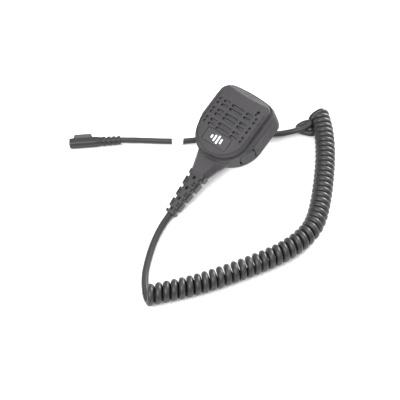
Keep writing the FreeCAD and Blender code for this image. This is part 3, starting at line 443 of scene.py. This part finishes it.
# ---------------------------------------------------------------- cord
def coil_turns(settings):
    """Control points of the curly part: a left-handed helix round the coil's axis."""
    radius = (settings.coil_diameter - settings.wire_diameter) / 2
    height = settings.coil_diameter / 2 + TABLE_GAP
    line = points_along([(x, y, height) for x, y in COIL_ROUTE])
    distances = walk(line)
    length = distances[-1]
    step_angle = FULL_TURN / settings.points_per_turn
    turns = []
    s = 0.0
    angle = -FULL_TURN / 4
    while s < length:
        share = s / length
        ease = min(1.0, max(0.0, (share - settings.stretched_share) / COIL_EASE))
        ease = ease * ease * (3 - 2 * ease)
        pitch = settings.open_pitch + (settings.closed_pitch - settings.open_pitch) * ease
        centre, way = place_at(line, distances, s)
        left = Vector((-way.y, way.x, 0)).normalized()
        turns.append(centre + (left * math.cos(angle) + Vector((0, 0, 1)) * math.sin(angle)) * radius)
        s += pitch / settings.points_per_turn
        angle -= step_angle
    while math.sin(angle + step_angle) < TOP_OF_TURN:
        turns.pop()
        angle += step_angle
    return turns


class MIC_OT_cord(bpy.types.Operator):
    """Lay the cord: lead, curly part, loose loop and tail in one spline"""
    bl_idname = "mic.cord"
    bl_label = "Cord"

    def execute(self, context):
        settings = context.scene.mic_cord
        turns = coil_turns(settings)
        points = [Vector(p) for p in LEAD_ROUTE] + turns[1:] + [Vector(p) for p in LOOP_ROUTE + TAIL_ROUTE]
        swell = [settings.lead_swell] * len(LEAD_ROUTE) + [1.0] * (len(turns) - 1 + len(LOOP_ROUTE))
        swell += [settings.tail_swell] * len(TAIL_ROUTE)
        curve = spline_curve("curly_cord", points, settings.wire_diameter / 2, swell)
        piece = bpy.data.objects.new("curly_cord", curve)
        context.scene.collection.objects.link(piece)
        # polyurethane extruded over the wires and heat-set on a mandrel: smooth, with a long soft highlight
        curve.materials.append(satin_pvc("extruded_polyurethane_jacket", linear(context.scene.mic_finish.jacket)))
        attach(piece, "handset")
        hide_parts("cord_lead", "cord_coil", "cord_loop", "cord_tail")
        line = points_along(points)
        on_it = [NODES[n] for n in ("plug_relief", "plug_body", "plug_face", "plug_pins")]
        on_it.append(bpy.data.objects["paper_tag"])
        return {"FINISHED"}


class MIC_OT_tag(bpy.types.Operator):
    """Fold the blank paper tag round the tail: a loop, and two ends stuck together as a flag"""
    bl_idname = "mic.tag"
    bl_label = "Paper tag"

    def execute(self, context):
        settings = context.scene.mic_tag
        before, after = (Vector(TAIL_ROUTE[i]) for i in TAG_RUN)
        way = (after - before).normalized()
        side = Vector((-way.y, way.x, 0)).normalized()
        up = way.cross(side)
        if up.z < 0:
            up = -up
        flag_way = side * math.cos(settings.rise) + up * math.sin(settings.rise)
        flag_up = up * math.cos(settings.rise) - side * math.sin(settings.rise)
        radius = context.scene.mic_cord.wire_diameter / 2 + 2 * settings.paper
        gap = GLUE_GAP * settings.paper
        # section: in along the flag's lower sheet, round the cord, out along the upper one
        reach = [radius * FLAG_START + settings.flag * i / TAG_STEPS for i in range(1, TAG_STEPS + 1)]
        section = [(u, -gap) for u in reversed(reach)]
        for i in range(TAG_LOOP_STEPS + 1):
            angle = math.radians(TAG_LOOP_START - TAG_LOOP_SWEEP * i / TAG_LOOP_STEPS)
            section.append((radius * math.cos(angle), radius * math.sin(angle)))
        section += [(u, gap) for u in reach]
        start = (before + after) / 2 - way * (settings.length / 2)
        rows = []
        for k in range(TAG_STEPS + 1):
            along = start + way * (settings.length * k / TAG_STEPS)
            row = []
            for u, v in section:
                curl = FLAG_CURL * (max(0.0, u - radius) / settings.flag) ** 2
                row.append(along + flag_way * u + flag_up * (v + curl))
            rows.append(row)
        tag = strip_mesh("paper_tag", rows, settings.paper)
        tag.data.materials.append(matt_paper("coated_label_paper", linear(context.scene.mic_finish.paper)))
        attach(tag, "handset")
        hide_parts("tail_label")
        return {"FINISHED"}


# ---------------------------------------------------------------- casing and what it holds
class MIC_OT_casing(bpy.types.Operator):
    """Finish the moulded casing, its label and its rubber pieces"""
    bl_idname = "mic.casing"
    bl_label = "Casing"

    def execute(self, context):
        finish = context.scene.mic_finish
        dress(spark_textured_abs("spark_textured_abs", linear(finish.housing)), "front_cover", "rear_cover",
              "front_panel")
        dress(spark_textured_abs("fine_textured_abs", shade(linear(finish.housing), 1.1), 0.5), "label_plate")
        dress(matt_paper("pad_printed_white", linear("#E8E8E8")), "label_mark")
        dress(satin_pvc("moulded_black_rubber", linear(finish.rubber), 0.6), "cover_gasket", "ptt_seal", "mic_boot")
        dress(satin_pvc("soft_touch_rubber", linear(finish.pad), 0.6), "ptt_button", "jack_cover")
        return {"FINISHED"}


class MIC_OT_grille(bpy.types.Operator):
    """Finish the cloth behind the slots"""
    bl_idname = "mic.grille"
    bl_label = "Grille cloth"

    def execute(self, context):
        dress(woven_cloth("acoustic_cloth", linear(context.scene.mic_finish.cloth)), "grille_mesh")
        return {"FINISHED"}


class MIC_OT_inside(bpy.types.Operator):
    """Finish the speaker, microphone, board and switch inside the casing"""
    bl_idname = "mic.inside"
    bl_label = "Inside"

    def execute(self, context):
        dress(drawn_metal("zinc_plated_steel", linear("#B4B6B8"), 0.35, 0.2), "case_screws", "board_screws")
        dress(drawn_metal("pressed_steel", linear("#9A9C9E"), 0.4, 0.3), "speaker_basket", "speaker_clamps")
        dress(powder_coat("sintered_ferrite", linear("#3A3A3C")), "speaker_magnet")
        dress(drawn_metal("enamelled_copper", linear("#B06A42"), 0.3, 0.2), "voice_coil", "inner_wires")
        dress(matt_paper("pressed_paper_cone", linear("#2C2C2C")), "speaker_cone", "dust_cap", "speaker_surround")
        dress(satin_pvc("closed_cell_foam", linear("#242424"), 0.85), "speaker_gasket")
        dress(drawn_metal("drawn_aluminium_can", linear("#C9CACC"), 0.3, 0.2), "mic_capsule")
        dress(solder_masked_board("solder_masked_laminate"), "circuit_board")
        dress(satin_pvc("moulded_epoxy", linear("#29292B"), 0.5), "board_components", "ptt_key", "ptt_switch",
              "switch_stem", "audio_jack", "cable_clamp")
        return {"FINISHED"}


class MIC_OT_relief(bpy.types.Operator):
    """Finish the ribbed strain reliefs and the cable inside the handset's one"""
    bl_idname = "mic.relief"
    bl_label = "Strain relief"

    def execute(self, context):
        finish = context.scene.mic_finish
        dress(satin_pvc("moulded_pvc_relief", linear(finish.rubber)), "strain_relief", "plug_relief")
        dress(satin_pvc("inner_jacket", linear(finish.jacket)), "inner_cable")
        return {"FINISHED"}


class MIC_OT_clip(bpy.types.Operator):
    """Finish the swivel clip and wind its spring"""
    bl_idname = "mic.clip"
    bl_label = "Clip"

    def execute(self, context):
        settings = context.scene.mic_spring
        dress(powder_coat("black_powder_coat", linear(context.scene.mic_finish.clip)), "clip_frame", "clip_jaw")
        dress(drawn_metal("nickel_plated_steel", linear("#B9B8B4"), 0.3, 0.2), "clip_bush", "clip_washer",
              "clip_screw", "clip_pin")
        # the spring fills the CAD sleeve round the pin: its turns run along x
        low, high = (Vector(corner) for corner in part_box("clip_spring"))
        centre = (low + high) / 2
        radius = (high.y - low.y) / 2 - settings.wire / 2
        run = high.x - low.x - settings.wire
        steps = SPRING_STEPS * settings.turns
        points = []
        for i in range(steps + 1):
            angle = FULL_TURN * settings.turns * i / steps
            points.append((low.x + settings.wire / 2 + run * i / steps,
                           centre.y + radius * math.cos(angle), centre.z + radius * math.sin(angle)))
        curve = spline_curve("torsion_spring", points, settings.wire / 2)
        spring = bpy.data.objects.new("torsion_spring", curve)
        context.scene.collection.objects.link(spring)
        curve.materials.append(drawn_metal("drawn_spring_wire", linear("#8A8C8E"), 0.3, 0.2))
        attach(spring, SPRING_BODY)
        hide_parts("clip_spring")
        return {"FINISHED"}


class MIC_OT_plug(bpy.types.Operator):
    """Finish the side plug and its contacts"""
    bl_idname = "mic.plug"
    bl_label = "Plug"

    def execute(self, context):
        finish = context.scene.mic_finish
        dress(satin_pvc("overmoulded_pvc", linear(finish.rubber)), "plug_body")
        dress(spark_textured_abs("glass_filled_nylon", linear(finish.insulator)), "plug_face")
        dress(drawn_metal("gold_plated_brass", linear("#D9C48A"), 0.25, 0.2), "plug_pins")
        return {"FINISHED"}


# ---------------------------------------------------------------- stage
def area_light(context, name, place, target, size, power):
    """Round softbox that faces a point."""
    light = bpy.data.lights.new(name, "AREA")
    light.shape = "DISK"
    light.size = size
    light.energy = power
    holder = bpy.data.objects.new(name, light)
    context.scene.collection.objects.link(holder)
    holder.location = place
    holder.rotation_euler = (target - place).to_track_quat("-Z", "Y").to_euler()


def studio_sky(stage):
    """World that is bright overhead and dim near the table, like a big softbox over a white sweep."""
    world = bpy.data.worlds.new("studio")
    world.use_nodes = True
    tree = world.node_tree
    tree.nodes.clear()
    way = add_node(tree, "ShaderNodeTexCoord").outputs["Generated"]
    height = add_node(tree, "ShaderNodeSeparateXYZ", links=[("Vector", way)])
    strength = add_node(tree, "ShaderNodeMapRange",
                        [("To Min", stage.horizon), ("To Max", stage.overhead),
                         ("From Min", 0.15), ("From Max", 0.95)],
                        [("Value", height.outputs["Z"])])
    sky = add_node(tree, "ShaderNodeBackground", [("Color", linear(PLAIN_WHITE))],
                   [("Strength", strength.outputs["Result"])])
    add_node(tree, "ShaderNodeOutputWorld", links=[("Surface", sky.outputs["Background"])])
    return world


class MIC_OT_stage(bpy.types.Operator):
    """Pale floor, soft light and the camera"""
    bl_idname = "mic.stage"
    bl_label = "Stage"

    def execute(self, context):
        stage = context.scene.mic_stage
        mesh = bpy.data.meshes.new("floor")
        corners = [(x * FLOOR_HALF, y * FLOOR_HALF, 0) for x, y in ((-1, -1), (1, -1), (1, 1), (-1, 1))]
        mesh.from_pydata(corners, [], [(0, 1, 2, 3)])
        floor = bpy.data.objects.new("floor", mesh)
        context.scene.collection.objects.link(floor)
        white = new_material("matt_white_table")
        shader = add_node(white.node_tree, "ShaderNodeBsdfPrincipled",
                          [("Base Color", linear(stage.floor)), ("Roughness", 0.9), ("IOR", 1.3)])
        add_node(white.node_tree, "ShaderNodeOutputMaterial", links=[("Surface", shader.outputs["BSDF"])])
        mesh.materials.append(white)
        context.scene.world = studio_sky(stage)

        away = Vector((-math.sin(stage.heading), math.cos(stage.heading), 0))
        right = Vector((math.cos(stage.heading), math.sin(stage.heading), 0))
        up = Vector((0, 0, 1))
        for name, (across, back, rise), size, power in (("key_softbox", KEY_PLACE, KEY_SIZE, stage.key),
                                                        ("side_softbox", SIDE_PLACE, SIDE_SIZE, stage.side)):
            area_light(context, name, AIM + right * across + away * back + up * rise, AIM, size, power)

        camera_data = bpy.data.cameras.new("camera")
        camera = bpy.data.objects.new("camera", camera_data)
        context.scene.collection.objects.link(camera)
        camera_data.lens = stage.lens
        camera_data.sensor_width = 36.0
        camera_data.clip_start = 0.01
        back_off = away * math.cos(stage.elevation) - up * math.sin(stage.elevation)
        camera.location = AIM - back_off * stage.distance
        camera.rotation_euler = back_off.to_track_quat("-Z", "Y").to_euler()
        context.scene.camera = camera
        context.scene.view_settings.view_transform = "Standard"
        return {"FINISHED"}


class MIC_PT_panel(bpy.types.Panel):
    """Sidebar panel with one button for each group of pieces"""
    bl_label = "Hand Mic"
    bl_idname = "MIC_PT_panel"
    bl_space_type = "VIEW_3D"
    bl_region_type = "UI"
    bl_category = "Hand Mic"

    def draw(self, context):
        for operator in OPERATORS:
            self.layout.operator(operator.bl_idname)


OPERATORS = (MIC_OT_stage, MIC_OT_tag, MIC_OT_cord, MIC_OT_casing, MIC_OT_grille, MIC_OT_inside, MIC_OT_relief,
             MIC_OT_clip, MIC_OT_plug)
CLASSES = (CordSettings, FinishSettings, TagSettings, SpringSettings, StageSettings, *OPERATORS, MIC_PT_panel)


def register():
    for cls in CLASSES:
        bpy.utils.register_class(cls)
    bpy.types.Scene.mic_cord = bpy.props.PointerProperty(type=CordSettings)
    bpy.types.Scene.mic_finish = bpy.props.PointerProperty(type=FinishSettings)
    bpy.types.Scene.mic_tag = bpy.props.PointerProperty(type=TagSettings)
    bpy.types.Scene.mic_spring = bpy.props.PointerProperty(type=SpringSettings)
    bpy.types.Scene.mic_stage = bpy.props.PointerProperty(type=StageSettings)


def unregister():
    del bpy.types.Scene.mic_stage
    del bpy.types.Scene.mic_spring
    del bpy.types.Scene.mic_tag
    del bpy.types.Scene.mic_finish
    del bpy.types.Scene.mic_cord
    for cls in reversed(CLASSES):
        bpy.utils.unregister_class(cls)


def main():
    """Build every piece in order."""
    register()
    for operator in OPERATORS:
        group, name = operator.bl_idname.split(".")
        getattr(getattr(bpy.ops, group), name)()
    bpy.context.view_layer.update()


if __name__ == "__main__":
    main()
